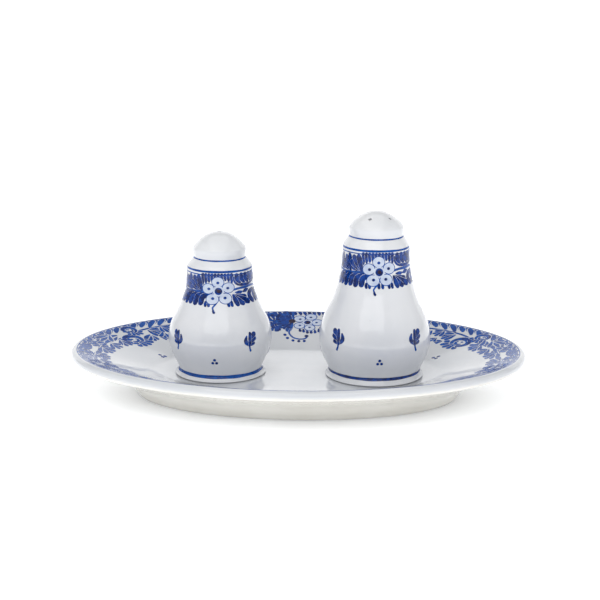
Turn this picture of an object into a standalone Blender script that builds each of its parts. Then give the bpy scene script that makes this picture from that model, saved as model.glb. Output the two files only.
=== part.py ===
"""Cruet set: an oval dish that carries a salt shaker and a pepper shaker, each closed by a cork from below.

Metres, +Z up. The origin is the middle of the underside of the dish's foot, +X runs along the dish,
and the shakers stand side by side along X, the smaller salt shaker at -X.
"""

import math

import bmesh
import bpy
from mathutils import Vector

MM = 0.001
GAP = 0.3 * MM  # clearance kept between pieces that rest on or fit into each other

# Dish: every level of it is an ellipse, whose two semi-axes are the lip's less the same inset.
DISH_HALF_LENGTH = 115.0 * MM
DISH_HALF_WIDTH = 79.7 * MM
DISH_SEGMENTS = 64

# The dish's section in millimetres, as (inset, height), from its flat floor over the lip to the recess below.
DISH_FLOOR = [(43.5, 12.0), (40.5, 12.5)]
DISH_RIM = [(38.0, 13.3), (28.0, 16.0), (16.0, 19.7), (7.0, 22.9), (3.6, 24.0), (1.9, 24.35)]
DISH_LIP = [(1.9, 24.35), (0.5, 23.4), (0.0, 21.6), (0.7, 20.0), (2.2, 19.3)]
DISH_UNDERSIDE = [(2.2, 19.3), (11.0, 15.7), (20.0, 12.0), (27.0, 8.2), (31.0, 4.4), (33.2, 1.2)]
DISH_FOOT = [(34.0, 0.2), (34.8, 0.0), (38.6, 0.0), (39.4, 0.5), (41.2, 5.4), (43.0, 6.6)]

# Shakers: where they stand on the dish, and what the two have in common.
SHAKER_OFFSET_X = 38.9 * MM
SHAKER_OFFSET_Y = -4.1 * MM
WALL = 3.0 * MM
BASE_RECESS = 4.0 * MM
BASE_THICKNESS = 3.5 * MM
BASE_EDGE = 0.5 * MM  # chamfer on the inner edge of the foot ring
BASE_FILLET = 0.8 * MM  # in the corner of the base recess
FILLER_RADIUS = 9.2 * MM
AXIS_CLEAR = 2.0 * MM  # the cavity's outline closes straight to the axis inside this radius
SHAKER_SEGMENTS = 40
CURVE_STEPS = 2  # profile points for each span between two knots of an outline
CAVITY_STRIDE = 3  # the cavity follows every third point of the outline

# Sprinkle holes through the dome.
HOLE_SEGMENTS = 12
SALT_HOLE_RADIUS = 1.1 * MM
SALT_HOLE_TURN = math.radians(4.5)  # keeps the hole's corners off the dome's own facet edges
PEPPER_HOLE_RADIUS = 0.85 * MM
PEPPER_HOLES = 5
PEPPER_RING_RADIUS = 8.6 * MM
PEPPER_FIRST_HOLE = math.radians(-112.0)

# Cork stoppers.
CORK_LENGTH = 12.0 * MM
CORK_RADIUS = 9.0 * MM  # at the outer end
CORK_TAPER = 0.9 * MM  # how much narrower the inner end is
CORK_CHAMFER = 0.4 * MM
CORK_HEIGHT = 1.6 * MM  # its outer end above the plane of the shaker's foot
CORK_SEGMENTS = 32

# Outer outlines of the shakers in millimetres, as (radius, height above the foot), top to bottom.
# The dome ends in the crease above the shoulder, and the body in the concave waist above the flared foot.
SALT_DOME = [(0.0, 71.85), (5.0, 71.0), (9.4, 68.3), (12.4, 65.2), (13.3, 63.2), (12.75, 59.5)]
SALT_BODY = [(12.75, 59.5), (14.2, 57.9), (16.1, 55.2), (16.6, 49.5), (17.3, 42.4), (21.1, 33.2),
             (24.6, 26.2), (26.0, 19.0), (24.7, 12.0), (21.9, 5.6), (20.7, 2.9)]
SALT_FOOT = [(20.7, 2.9), (22.0, 1.1), (22.8, 0.5), (22.4, 0.0)]
PEPPER_DOME = [(0.0, 83.2), (4.9, 82.3), (10.3, 79.1), (13.2, 76.1), (13.6, 74.4), (13.25, 71.2)]
PEPPER_BODY = [(13.25, 71.2), (14.9, 69.1), (16.5, 65.9), (16.7, 60.0), (17.9, 50.6), (21.0, 39.8),
               (25.7, 29.8), (27.9, 20.0), (26.8, 12.2), (24.2, 6.2), (22.85, 3.3)]
PEPPER_FOOT = [(22.85, 3.3), (24.0, 1.2), (24.6, 0.5), (24.2, 0.0)]

IVORY = (0.80, 0.785, 0.745, 1.0)
WHITE_GLAZE = (0.80, 0.82, 0.85, 1.0)
CORK_BROWN = (0.56, 0.37, 0.20, 1.0)


def clear_scene():
    for obj in list(bpy.data.objects):
        bpy.data.objects.remove(obj, do_unlink=True)


def new_collection(name, hidden=False):
    collection = bpy.data.collections.new(name)
    bpy.context.scene.collection.children.link(collection)
    collection.hide_render = hidden
    return collection


def glossy_material(name, colour, roughness):
    material = bpy.data.materials.new(name)
    material.use_nodes = True
    shader = material.node_tree.nodes["Principled BSDF"]
    shader.inputs["Base Color"].default_value = colour
    shader.inputs["Roughness"].default_value = roughness
    shader.inputs["Metallic"].default_value = 0.0
    material.diffuse_color = colour
    return material


def mesh_object(name, bm, collection, material=None):
    mesh = bpy.data.meshes.new(name)
    bm.to_mesh(mesh)
    bm.free()
    if material is not None:
        mesh.materials.append(material)
    obj = bpy.data.objects.new(name, mesh)
    collection.objects.link(obj)
    return obj


def smooth_round(obj, sharp_degrees=40.0):
    obj.data.shade_smooth()
    obj.data.set_sharp_from_angle(angle=math.radians(sharp_degrees))


def curve_through(knots, steps):
    """Points of a Catmull-Rom curve through the knots, both ends included."""
    ends = [2 * knots[0] - knots[1], *knots, 2 * knots[-1] - knots[-2]]
    points = []
    for i in range(1, len(ends) - 2):
        before, start, end, after = ends[i - 1:i + 3]
        for step in range(steps):
            t = step / steps
            points.append(0.5 * (2 * start + (end - before) * t
                                 + (2 * before - 5 * start + 4 * end - after) * t ** 2
                                 + (3 * start - before - 3 * end + after) * t ** 3))
    return points + [knots[-1]]


def outline(rows, steps=CURVE_STEPS):
    """A smooth (radius, height) outline in metres through rows given in millimetres."""
    return curve_through([Vector(row) * MM for row in rows], steps)


def dome_outline(rows, steps=CURVE_STEPS):
    """The dome's outline, level where it crosses the axis."""
    knots = [Vector(row) * MM for row in rows]
    mirrored = Vector((-knots[1].x, knots[1].y))
    return curve_through([mirrored, *knots], steps)[steps:]


def inset_curve(points, distance):
    """The points moved towards the inside of a profile that runs down its outer side."""
    moved = []
    for i, point in enumerate(points):
        along = points[min(i + 1, len(points) - 1)] - points[max(i - 1, 0)]
        inward = Vector((along.y, -along.x)).normalized()
        if inward.x > 0:
            inward = -inward
        moved.append(point + distance * inward)
    return moved


def cavity_outline(outer, top):
    """The inside of a shaker, from the rim of its filler hole up to the axis under the dome."""
    floor_height = BASE_RECESS + BASE_THICKNESS
    wall_side = [point for point in inset_curve(outer, WALL)
                 if point.y > floor_height + WALL and point.x > AXIS_CLEAR]
    corner = wall_side[-1]
    corner_radius = corner.y - floor_height
    half = math.sqrt(0.5) * corner_radius
    inside = [Vector((FILLER_RADIUS, floor_height)),
              Vector((corner.x - corner_radius, floor_height)),
              Vector((corner.x - corner_radius + half, corner.y - half))]
    return inside + wall_side[::-CAVITY_STRIDE] + [Vector((0.0, top - WALL))]


def turned_object(name, profile, segments, collection, material=None):
    """A solid of revolution about Z of a profile that starts on the axis and ends on it."""
    bm = bmesh.new()
    points = [bm.verts.new((point.x, 0.0, point.y)) for point in profile]
    for first, second in zip(points, points[1:]):
        bm.edges.new((first, second))
    obj = mesh_object(name, bm, collection, material)
    screw = obj.modifiers.new("Turn", "SCREW")
    screw.axis = "Z"
    screw.angle = math.tau
    screw.steps = segments
    screw.render_steps = segments
    screw.use_merge_vertices = True
    screw.merge_threshold = 0.00001
    screw.use_smooth_shade = True
    return obj


def cut(obj, cutter):
    boolean = obj.modifiers.new("Cut " + cutter.name, "BOOLEAN")
    boolean.operation = "DIFFERENCE"
    boolean.solver = "EXACT"
    boolean.object = cutter


def hole_cutter(name, radius, collection):
    """A round cutter, long enough to pass through the dome's wall from either side."""
    bm = bmesh.new()
    bmesh.ops.create_cone(bm, cap_ends=True, segments=HOLE_SEGMENTS, radius1=radius, radius2=radius,
                          depth=4 * WALL)
    cutter = mesh_object(name, bm, collection)
    cutter.hide_render = True
    cutter.display_type = "WIRE"
    return cutter


def dish_sections():
    """(inset, height) of the dish's levels in metres: the floor and the foot straight, the rest smooth."""
    floor, foot = [[Vector(row) * MM for row in rows] for rows in (DISH_FLOOR, DISH_FOOT)]
    rim = outline(DISH_RIM)[:-1] + outline(DISH_LIP)[:-1] + outline(DISH_UNDERSIDE)
    return floor + rim + foot


def make_oval_dish(collection, material):
    """The dish: elliptical rings joined in order, and closed by its flat floor and its flat underside."""
    bm = bmesh.new()
    rings = []
    for inset, height in dish_sections():
        ring = []
        for i in range(DISH_SEGMENTS):
            angle = math.tau * i / DISH_SEGMENTS
            ring.append(bm.verts.new(((DISH_HALF_LENGTH - inset) * math.cos(angle),
                                      (DISH_HALF_WIDTH - inset) * math.sin(angle), height)))
        rings.append(ring)
    for inner, outer in zip(rings, rings[1:]):
        for i in range(DISH_SEGMENTS):
            j = (i + 1) % DISH_SEGMENTS
            bm.faces.new((inner[i], outer[i], outer[j], inner[j]))
    bm.faces.new(rings[0])
    bm.faces.new(rings[-1][::-1])
    dish = mesh_object("oval_dish", bm, collection, material)
    smooth_round(dish)
    return dish


def base_outline(outer):
    """Underneath a shaker: the foot ring's inner edge, the recess and the rim of the filler hole."""
    waist = min(point.x for point in outer if point.y < BASE_RECESS)
    recess_radius = waist - WALL
    return [Vector((recess_radius + BASE_EDGE, 0.0)),
            Vector((recess_radius, BASE_EDGE)),
            Vector((recess_radius, BASE_RECESS - BASE_FILLET)),
            Vector((recess_radius - BASE_FILLET, BASE_RECESS)),
            Vector((FILLER_RADIUS, BASE_RECESS))]


def dome_height_and_lean(dome, radius):
    """The dome's height at a radius, and how far its surface leans there from level."""
    for inner, outer in zip(dome, dome[1:]):
        if inner.x < radius <= outer.x:
            share = (radius - inner.x) / (outer.x - inner.x)
            lean = math.atan2(inner.y - outer.y, outer.x - inner.x)
            return inner.y + share * (outer.y - inner.y), lean
    return dome[0].y, 0.0


def make_shaker(name, stand, rows, holes, collection, cutters, material):
    """A hollow shaker on its stand, with sprinkle holes at the given (ring radius, angle, hole radius)."""
    dome_rows, body_rows, foot_rows = rows
    dome = dome_outline(dome_rows)
    wall = dome[:-1] + outline(body_rows)
    outer = wall[:-1] + outline(foot_rows)
    profile = outer + base_outline(outer) + cavity_outline(wall, dome[0].y)
    shaker = turned_object(name, profile, SHAKER_SEGMENTS, collection, material)
    shaker.parent = stand
    for number, (ring, angle, radius) in enumerate(holes, start=1):
        height, lean = dome_height_and_lean(dome, ring)
        cutter = hole_cutter(f"{name}_hole_{number}", radius, collection=cutters)
        cutter.location = (ring * math.cos(angle), ring * math.sin(angle), height)
        cutter.rotation_euler = (0.0, lean, angle)
        cutter.parent = stand
        cut(shaker, cutter)
    smooth_round(shaker)
    return shaker


def make_cork(name, stand, collection, material):
    """A tapered cork, its wider end outwards, in the filler hole of the shaker on that stand."""
    inner_radius = CORK_RADIUS - CORK_TAPER
    top = CORK_HEIGHT + CORK_LENGTH
    profile = [Vector((0.0, top)),
               Vector((inner_radius - CORK_CHAMFER, top)),
               Vector((inner_radius, top - CORK_CHAMFER)),
               Vector((CORK_RADIUS, CORK_HEIGHT + CORK_CHAMFER)),
               Vector((CORK_RADIUS - CORK_CHAMFER, CORK_HEIGHT)),
               Vector((0.0, CORK_HEIGHT))]
    cork = turned_object(name, profile, CORK_SEGMENTS, collection, material)
    cork.parent = stand
    return cork


def make_stand(name, side, collection):
    """An empty on the shaker's upright axis, at the height of its foot on the dish."""
    stand = bpy.data.objects.new(name, None)
    floor_height = DISH_FLOOR[0][1] * MM
    stand.location = (side * SHAKER_OFFSET_X, SHAKER_OFFSET_Y, floor_height + GAP)
    collection.objects.link(stand)
    return stand


def main():
    clear_scene()
    parts = new_collection("cruet_set")
    cutters = new_collection("cutters", hidden=True)
    dish_glaze = glossy_material("dish_glaze", IVORY, 0.12)
    shaker_glaze = glossy_material("shaker_glaze", WHITE_GLAZE, 0.12)
    cork = glossy_material("cork", CORK_BROWN, 0.85)

    make_oval_dish(parts, dish_glaze)
    salt_stand = make_stand("salt_stand", -1, parts)
    pepper_stand = make_stand("pepper_stand", 1, parts)
    salt_holes = [(0.0, SALT_HOLE_TURN, SALT_HOLE_RADIUS)]
    pepper_holes = [(PEPPER_RING_RADIUS, PEPPER_FIRST_HOLE + math.tau * i / PEPPER_HOLES, PEPPER_HOLE_RADIUS)
                    for i in range(PEPPER_HOLES)]
    make_shaker("salt_shaker", salt_stand, (SALT_DOME, SALT_BODY, SALT_FOOT), salt_holes,
                parts, cutters, shaker_glaze)
    make_shaker("pepper_shaker", pepper_stand, (PEPPER_DOME, PEPPER_BODY, PEPPER_FOOT), pepper_holes,
                parts, cutters, shaker_glaze)
    make_cork("salt_stopper", salt_stand, parts, cork)
    make_cork("pepper_stopper", pepper_stand, parts, cork)


main()
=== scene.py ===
"""Looks of the cruet set: glazed earthenware painted in cobalt blue, with corks, in a soft white studio.

Lengths are in millimetres and turned into the frame's metres by MM, unless a comment says otherwise.
"""

import math
import random

import bmesh
import bpy
from mathutils import Matrix, Vector, noise
from mathutils.geometry import delaunay_2d_cdt


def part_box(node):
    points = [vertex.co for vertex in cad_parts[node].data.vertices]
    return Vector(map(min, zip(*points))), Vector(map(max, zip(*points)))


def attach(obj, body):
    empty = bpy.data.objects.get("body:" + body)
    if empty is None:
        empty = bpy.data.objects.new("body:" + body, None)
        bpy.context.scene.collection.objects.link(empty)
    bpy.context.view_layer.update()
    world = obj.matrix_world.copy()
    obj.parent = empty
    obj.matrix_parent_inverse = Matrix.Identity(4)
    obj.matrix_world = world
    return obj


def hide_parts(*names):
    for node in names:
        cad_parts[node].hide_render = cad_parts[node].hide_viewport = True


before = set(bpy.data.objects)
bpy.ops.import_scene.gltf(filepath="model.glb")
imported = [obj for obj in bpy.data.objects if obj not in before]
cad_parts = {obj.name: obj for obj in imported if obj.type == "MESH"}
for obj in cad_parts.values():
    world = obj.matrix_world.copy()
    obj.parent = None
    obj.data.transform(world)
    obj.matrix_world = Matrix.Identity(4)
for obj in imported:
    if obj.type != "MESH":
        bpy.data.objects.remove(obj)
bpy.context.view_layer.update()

MM = 0.001

# ---------------------------------------------------------------- shapes, as the solids have them
DISH_FLOOR = [(43.5, 12.0), (40.5, 12.5)]
DISH_RIM = [(38.0, 13.3), (28.0, 16.0), (16.0, 19.7), (7.0, 22.9), (3.6, 24.0), (1.9, 24.35)]
DISH_LIP = [(1.9, 24.35), (0.5, 23.4), (0.0, 21.6), (0.7, 20.0), (2.2, 19.3)]
DISH_UNDERSIDE = [(2.2, 19.3), (11.0, 15.7), (20.0, 12.0), (27.0, 8.2), (31.0, 4.4), (33.2, 1.2)]
DISH_FOOT = [(34.0, 0.2), (34.8, 0.0), (38.6, 0.0), (39.4, 0.5), (41.2, 5.4), (43.0, 6.6)]
IVORY_TOP, IVORY_BLEND = 22.6, 3.0  # the height where the ivory outside starts, and how softly
FLOOR_RINGS = (0.8, 0.55, 0.3, 0.1)  # the flat floor's rings, as shares of its outline

WALL = 3.0
BASE_RECESS = 4.0
BASE_THICKNESS = 3.5
FILLER_RADIUS = 9.2
SALT_DOME = [(0.0, 71.85), (5.0, 71.0), (9.4, 68.3), (12.4, 65.2), (13.3, 63.2), (12.75, 59.5)]
SALT_BODY = [(12.75, 59.5), (14.2, 57.9), (16.1, 55.2), (16.6, 49.5), (17.3, 42.4), (21.1, 33.2),
             (24.6, 26.2), (26.0, 19.0), (24.7, 12.0), (21.9, 5.6), (20.7, 2.9)]
SALT_FOOT = [(20.7, 2.9), (22.0, 1.1), (22.8, 0.5), (22.4, 0.0)]
PEPPER_DOME = [(0.0, 83.2), (4.9, 82.3), (10.3, 79.1), (13.2, 76.1), (13.6, 74.4), (13.25, 71.2)]
PEPPER_BODY = [(13.25, 71.2), (14.9, 69.1), (16.5, 65.9), (16.7, 60.0), (17.9, 50.6), (21.0, 39.8),
               (25.7, 29.8), (27.9, 20.0), (26.8, 12.2), (24.2, 6.2), (22.85, 3.3)]
PEPPER_FOOT = [(22.85, 3.3), (24.0, 1.2), (24.6, 0.5), (24.2, 0.0)]
SALT_HOLES = [(0.0, 0.0, 1.1)]  # (ring radius, angle in degrees, hole radius)
PEPPER_HOLES = [(8.6, -112.0 + 72.0 * i, 0.85) for i in range(5)]

CORK_LENGTH = 12.0
CORK_RADIUS = 9.0
CORK_TAPER = 0.9
CORK_HEIGHT = 1.6  # of its outer end above the foot's plane
PORES = 70  # pits and chips in a cork

# ---------------------------------------------------------------- fineness of the meshes
STEPS = 8  # points for each span of an outline
STROKE_STEPS = 3  # and for each span of a brush stroke
DISH_SEGMENTS = 320
SHAKER_SEGMENTS = 144
CORK_SEGMENTS = 96

# ---------------------------------------------------------------- the camera and the studio
CAMERA_PLACE = (30.98, -686.57, 208.57)
CAMERA_AZIMUTH, CAMERA_PITCH, CAMERA_ROLL = 2.49, 13.09, 0.22  # degrees
CAMERA_LENS = 84.0  # on the usual 36 mm sensor
STUDIO_FLOOR = 30.0  # half the floor's side in metres
BACKDROP_DISTANCE = 1.6  # of the white paper behind the set, in metres
FOOT_HALF = (0.080, 0.045)  # half sizes of the dish's foot, in metres
FLOOR_GLOW = (0.92, 2.00, 0.16, 0.66)  # from and to which distance, and from and to which strength

# ---------------------------------------------------------------- colours, linear
WHITE_GLAZE = ((0.755, 0.765, 0.785), (0.715, 0.73, 0.755))
# the dish's white is the shakers' white glaze made darker: painted shade over the whole dish
SHADED_DISH_GLAZE = ((0.66, 0.675, 0.70), (0.62, 0.64, 0.67))
IVORY_GLAZE = ((0.79, 0.775, 0.73), (0.75, 0.73, 0.68))
COBALT_MID = ((0.002, 0.082, 0.38), (0.001, 0.046, 0.25))
COBALT_DARK = ((0.001, 0.048, 0.29), (0.001, 0.013, 0.10))
PETAL_WASH = ((0.60, 0.66, 0.77), (0.50, 0.57, 0.73))
MANGANESE = ((0.030, 0.016, 0.040), (0.016, 0.011, 0.035))
CORK_BROWN = ((0.47, 0.29, 0.15), (0.30, 0.17, 0.08))


# ================================================================ outlines and surfaces
def curve_through(knots, steps=STEPS):
    """Points of a Catmull-Rom curve through the knots, both ends included."""
    ends = [2 * knots[0] - knots[1], *knots, 2 * knots[-1] - knots[-2]]
    points = []
    for i in range(1, len(ends) - 2):
        before, start, end, after = ends[i - 1:i + 3]
        for step in range(steps):
            t = step / steps
            points.append(0.5 * (2 * start + (end - before) * t
                                 + (2 * before - 5 * start + 4 * end - after) * t ** 2
                                 + (3 * start - before - 3 * end + after) * t ** 3))
    return points + [knots[-1]]


def outline(rows, steps=STEPS):
    return curve_through([Vector(row) for row in rows], steps)


def dome_outline(rows, steps=STEPS):
    """The dome's outline, level where it crosses the axis."""
    knots = [Vector(row) for row in rows]
    return curve_through([Vector((-knots[1].x, knots[1].y)), *knots], steps)[steps:]


def middle(node):
    """The middle of a node's box in millimetres, at its lowest height."""
    low, high = [Vector(corner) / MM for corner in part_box(node)]
    return Vector(((low.x + high.x) / 2, (low.y + high.y) / 2, low.z))


class Turned:
    """The outer surface of a shaker: its stand, and its outline from the dome down to the foot."""

    def __init__(self, node, dome_rows, body_rows, foot_rows):
        self.stand = middle(node)
        self.dome = dome_outline(dome_rows)
        self.wall = self.dome[:-1] + outline(body_rows)
        self.outer = self.wall[:-1] + outline(foot_rows)
        self.coarse = dome_outline(dome_rows, 2)[:-1] + outline(body_rows, 2)

    def at(self, angle, height):
        """The point and the outward direction at an angle and a height above the foot."""
        for upper, lower in zip(self.outer, self.outer[1:]):
            if lower.y <= height:
                break
        share = (upper.y - height) / max(upper.y - lower.y, 1e-9)
        radius = upper.x + min(max(share, 0.0), 1.0) * (lower.x - upper.x)
        run = (lower - upper).normalized()
        around = Vector((math.cos(angle), math.sin(angle), 0.0))
        return self.stand + radius * around + Vector((0.0, 0.0, height)), -run.y * around + Vector((0, 0, run.x))

    def radius(self, height):
        return (self.at(0.0, height)[0] - self.stand).x

    def chart(self, degrees, height, radius=None):
        """Lays flat artwork on the wall: x runs round to the right seen from outside, and y runs upwards."""
        scale = radius or self.radius(height)
        upright = -self.at(0.0, height)[1].x if radius is None else -1.0
        return lambda x, y: self.at(math.radians(degrees) + x / scale, height - upright * y)


class Oval:
    """The dish's upper surface, as a chart of lengths along the rim and insets from the lip's edge."""

    REFERENCE = 14.0  # the inset where lengths along the rim are true

    def __init__(self, node):
        low, high = [Vector(corner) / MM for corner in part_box(node)]
        self.half = Vector(((high.x - low.x) / 2, (high.y - low.y) / 2))
        section = outline(DISH_RIM)
        self.section = sorted([(point.x, point.y) for point in section + [Vector(p) for p in DISH_FLOOR]])
        self.lengths = [0.0]
        steps = 3600
        for i in range(steps):
            angle = math.tau * (i + 0.5) / steps
            self.lengths.append(self.lengths[-1] + math.tau / steps * math.hypot(
                (self.half.x - self.REFERENCE) * math.sin(angle), (self.half.y - self.REFERENCE) * math.cos(angle)))
        self.girth = self.lengths[-1]

    def angle(self, length):
        """The ellipse's angle at a length along the reference ring, counted from +X towards +Y."""
        turns, rest = divmod(length, self.girth)
        low, high = 0, len(self.lengths) - 1
        while high - low > 1:
            half = (low + high) // 2
            low, high = (half, high) if self.lengths[half] <= rest else (low, half)
        share = (rest - self.lengths[low]) / (self.lengths[high] - self.lengths[low])
        return math.tau * (turns + (low + share) / (len(self.lengths) - 1))

    def height(self, inset):
        for (inset_a, height_a), (inset_b, height_b) in zip(self.section, self.section[1:]):
            if inset <= inset_b:
                share = (inset - inset_a) / (inset_b - inset_a)
                return height_a + share * (height_b - height_a)
        return self.section[-1][1]

    def point(self, length, inset):
        angle = self.angle(length)
        return Vector(((self.half.x - inset) * math.cos(angle), (self.half.y - inset) * math.sin(angle),
                       self.height(inset)))

    def at(self, length, inset):
        here = self.point(length, inset)
        along = self.point(length + 0.3, inset) - here
        inwards = self.point(length, inset + 0.3) - here
        normal = along.cross(inwards).normalized()
        return here, normal if normal.z > 0 else -normal

    def chart(self, length, inset):
        """Lays flat artwork on the rim: y runs out towards the lip, and x along the rim, clockwise from above."""
        return lambda x, y: self.at(length - x, inset - y)


# ================================================================ mesh building
def mesh_object(name, bm, materials):
    """The finished mesh as an object of the scene, its faces turned outwards."""
    bmesh.ops.recalc_face_normals(bm, faces=bm.faces)
    mesh = bpy.data.meshes.new(name)
    bm.to_mesh(mesh)
    bm.free()
    for material in materials:
        mesh.materials.append(material)
    obj = bpy.data.objects.new(name, mesh)
    bpy.context.scene.collection.objects.link(obj)
    return obj


def smooth(obj, sharp_degrees=40.0):
    """Smooth shading, apart from edges sharper than the angle."""
    obj.data.shade_smooth()
    obj.data.set_sharp_from_angle(angle=math.radians(sharp_degrees))


def loft(bm, rings):
    """Joins rings of points into a skin. A ring of one point is a pole."""
    rows = [[bm.verts.new(point * MM) for point in ring] for ring in rings]
    for first, second in zip(rows, rows[1:]):
        for i in range(max(len(first), len(second))):
            j = (i + 1) % max(len(first), len(second))
            corners = [first[i % len(first)], second[i % len(second)], second[j % len(second)], first[j % len(first)]]
            bm.faces.new(list(dict.fromkeys(corners)))
    return rows


def turned_rings(profile, segments, centre):
    """The rings of points that a profile of (radius, height) leaves when it is turned about an upright axis."""
    rings = []
    for point in profile:
        if point.x < 1e-6:
            rings.append([centre + Vector((0, 0, point.y))])
        else:
            rings.append([centre + Vector((point.x * math.cos(math.tau * i / segments),
                                           point.x * math.sin(math.tau * i / segments), point.y))
                          for i in range(segments)])
    return rings


def inset_curve(points, distance):
    """The points moved towards the inside of a profile that runs down its outer side."""
    inner = []
    for i, point in enumerate(points):
        along = points[min(i + 1, len(points) - 1)] - points[max(i - 1, 0)]
        inward = Vector((along.y, -along.x)).normalized()
        inner.append(point + distance * (-inward if inward.x > 0 else inward))
    return inner


def fillet(corner, before, after, radius, steps=5):
    """A rounded corner between two straight stretches, as points."""
    start = corner + radius * (before - corner).normalized()
    end = corner + radius * (after - corner).normalized()
    points = []
    for step in range(steps + 1):
        t = step / steps
        points.append((1 - t) ** 2 * start + 2 * t * (1 - t) * corner + t ** 2 * end)
    return points


def shaker_profile(surface):
    """The whole section of a shaker: outside, foot ring, base recess, filler hole and cavity."""
    outer = surface.outer
    recess = min(point.x for point in outer if point.y < BASE_RECESS) - WALL
    floor = BASE_RECESS + BASE_THICKNESS
    wall_side = [point for point in inset_curve(surface.coarse, WALL) if point.y > floor + WALL and point.x > 2.0]
    corner = wall_side[-1]
    corner_radius = corner.y - floor
    knots = [Vector((corner.x - 0.3 * corner_radius, floor + 0.3 * corner_radius))] + wall_side[::-3]
    inside = curve_through(knots, 4)
    foot_edge = Vector((recess, 0.0))
    recess_corner = Vector((recess, BASE_RECESS))
    lower_rim = Vector((FILLER_RADIUS, BASE_RECESS))
    upper_rim = Vector((FILLER_RADIUS, floor))
    inner_corner = Vector((corner.x - corner_radius, floor))
    return (outer
            + fillet(foot_edge, outer[-1], recess_corner, 0.6)
            + fillet(recess_corner, foot_edge, lower_rim, 0.9)
            + fillet(lower_rim, recess_corner, upper_rim, 0.5)
            + fillet(upper_rim, lower_rim, inner_corner, 0.5)
            + [inner_corner] + inside + [Vector((0.0, surface.dome[0].y - WALL))])


def hole_cutter(surface, ring, degrees, radius):
    """A round cutter whose mouth flares where the glaze has rounded the edge of a sprinkle hole."""
    angle = math.radians(degrees)
    dome = surface.dome
    height, lean = dome[0].y, 0.0
    for inner, outer in zip(dome, dome[1:]):
        if inner.x < ring <= outer.x:
            height = inner.y + (ring - inner.x) / (outer.x - inner.x) * (outer.y - inner.y)
            lean = math.atan2(inner.y - outer.y, outer.x - inner.x)
    flare = 0.35
    profile = [Vector((0.0, 6.0)), Vector((radius + flare + 1.2, 6.0)), Vector((radius + flare + 0.25, 0.15))]
    for step in range(6):
        turn = math.radians(90.0 * step / 5)
        profile.append(Vector((radius + flare * (1 - math.sin(turn)), -flare * (1 - math.cos(turn)))))
    profile += [Vector((radius, -6.0)), Vector((0.0, -6.0))]
    bm = bmesh.new()
    loft(bm, turned_rings(profile, 32, Vector((0.0, 0.0, 0.0))))
    cutter = mesh_object("hole_cutter", bm, [])
    place = surface.stand + Vector((ring * math.cos(angle), ring * math.sin(angle), height))
    cutter.matrix_world = (Matrix.Translation(place * MM) @ Matrix.Rotation(angle, 4, "Z")
                           @ Matrix.Rotation(lean, 4, "Y") @ Matrix.Rotation(math.radians(2.3), 4, "Z"))
    return cutter


def cut(obj, cutters):
    """Cuts the holes, keeps the result as the object's mesh and removes the cutters."""
    for cutter in cutters:
        boolean = obj.modifiers.new("Cut", "BOOLEAN")
        boolean.operation = "DIFFERENCE"
        boolean.solver = "EXACT"
        boolean.object = cutter
    bpy.context.view_layer.update()
    graph = bpy.context.evaluated_depsgraph_get()
    finished = bpy.data.meshes.new_from_object(obj.evaluated_get(graph))
    obj.modifiers.clear()
    obj.data = finished
    for cutter in cutters:
        bpy.data.objects.remove(cutter, do_unlink=True)


# ================================================================ materials
class Nodes:
    """Short calls for building one material's nodes."""

    def __init__(self, name):
        self.material = bpy.data.materials.new(name)
        self.material.use_nodes = True
        self.tree = self.material.node_tree
        self.shader = self.tree.nodes["Principled BSDF"]
        self.place = self.add("ShaderNodeTexCoord").outputs["Object"]

    def add(self, kind, **values):
        node = self.tree.nodes.new(kind)
        for key, value in values.items():
            setattr(node, key, value)
        return node

    def link(self, output, socket):
        self.tree.links.new(output, socket)

    def noise(self, size_mm, detail=2.0, roughness=0.5):
        node = self.add("ShaderNodeTexNoise")
        node.inputs["Scale"].default_value = 1.0 / (size_mm * MM)
        node.inputs["Detail"].default_value = detail
        node.inputs["Roughness"].default_value = roughness
        self.link(self.place, node.inputs["Vector"])
        return node.outputs["Fac"]

    def remap(self, value, low, high, to_low, to_high):
        node = self.add("ShaderNodeMapRange", interpolation_type="SMOOTHSTEP")
        for socket, number in zip(("From Min", "From Max", "To Min", "To Max"), (low, high, to_low, to_high)):
            node.inputs[socket].default_value = number
        self.link(value, node.inputs["Value"])
        return node.outputs["Result"]

    def mix(self, share, first, second):
        node = self.add("ShaderNodeMix", data_type="RGBA")
        for socket, colour in ((node.inputs[6], first), (node.inputs[7], second)):
            if isinstance(colour, tuple):
                socket.default_value = (*colour, 1.0)
            else:
                self.link(colour, socket)
        self.link(share, node.inputs[0])
        return node.outputs[2]

    def bump(self, height, strength, distance_mm, below=None):
        node = self.add("ShaderNodeBump")
        node.inputs["Strength"].default_value = strength
        node.inputs["Distance"].default_value = distance_mm * MM
        self.link(height, node.inputs["Height"])
        if below is not None:
            self.link(below, node.inputs["Normal"])
        return node.outputs["Normal"]

    def attribute(self, name):
        return self.add("ShaderNodeAttribute", attribute_name=name).outputs["Fac"]


def glaze_gloss(nodes, low=0.06, high=0.13):
    """The gloss that every glazed surface shares: slightly uneven, with the faint ripple of a dipped glaze."""
    roughness = nodes.remap(nodes.noise(9.0, 3.0), 0.3, 0.7, low, high)
    nodes.link(roughness, nodes.shader.inputs["Roughness"])
    ripple = nodes.bump(nodes.noise(16.0, 1.0), 0.10, 0.35)
    orange_peel = nodes.bump(nodes.noise(1.6, 1.0), 0.05, 0.02, below=ripple)
    nodes.link(orange_peel, nodes.shader.inputs["Normal"])
    nodes.shader.inputs["IOR"].default_value = 1.52
    nodes.shader.inputs["Coat Weight"].default_value = 0.25
    nodes.shader.inputs["Coat Roughness"].default_value = 0.03


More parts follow.
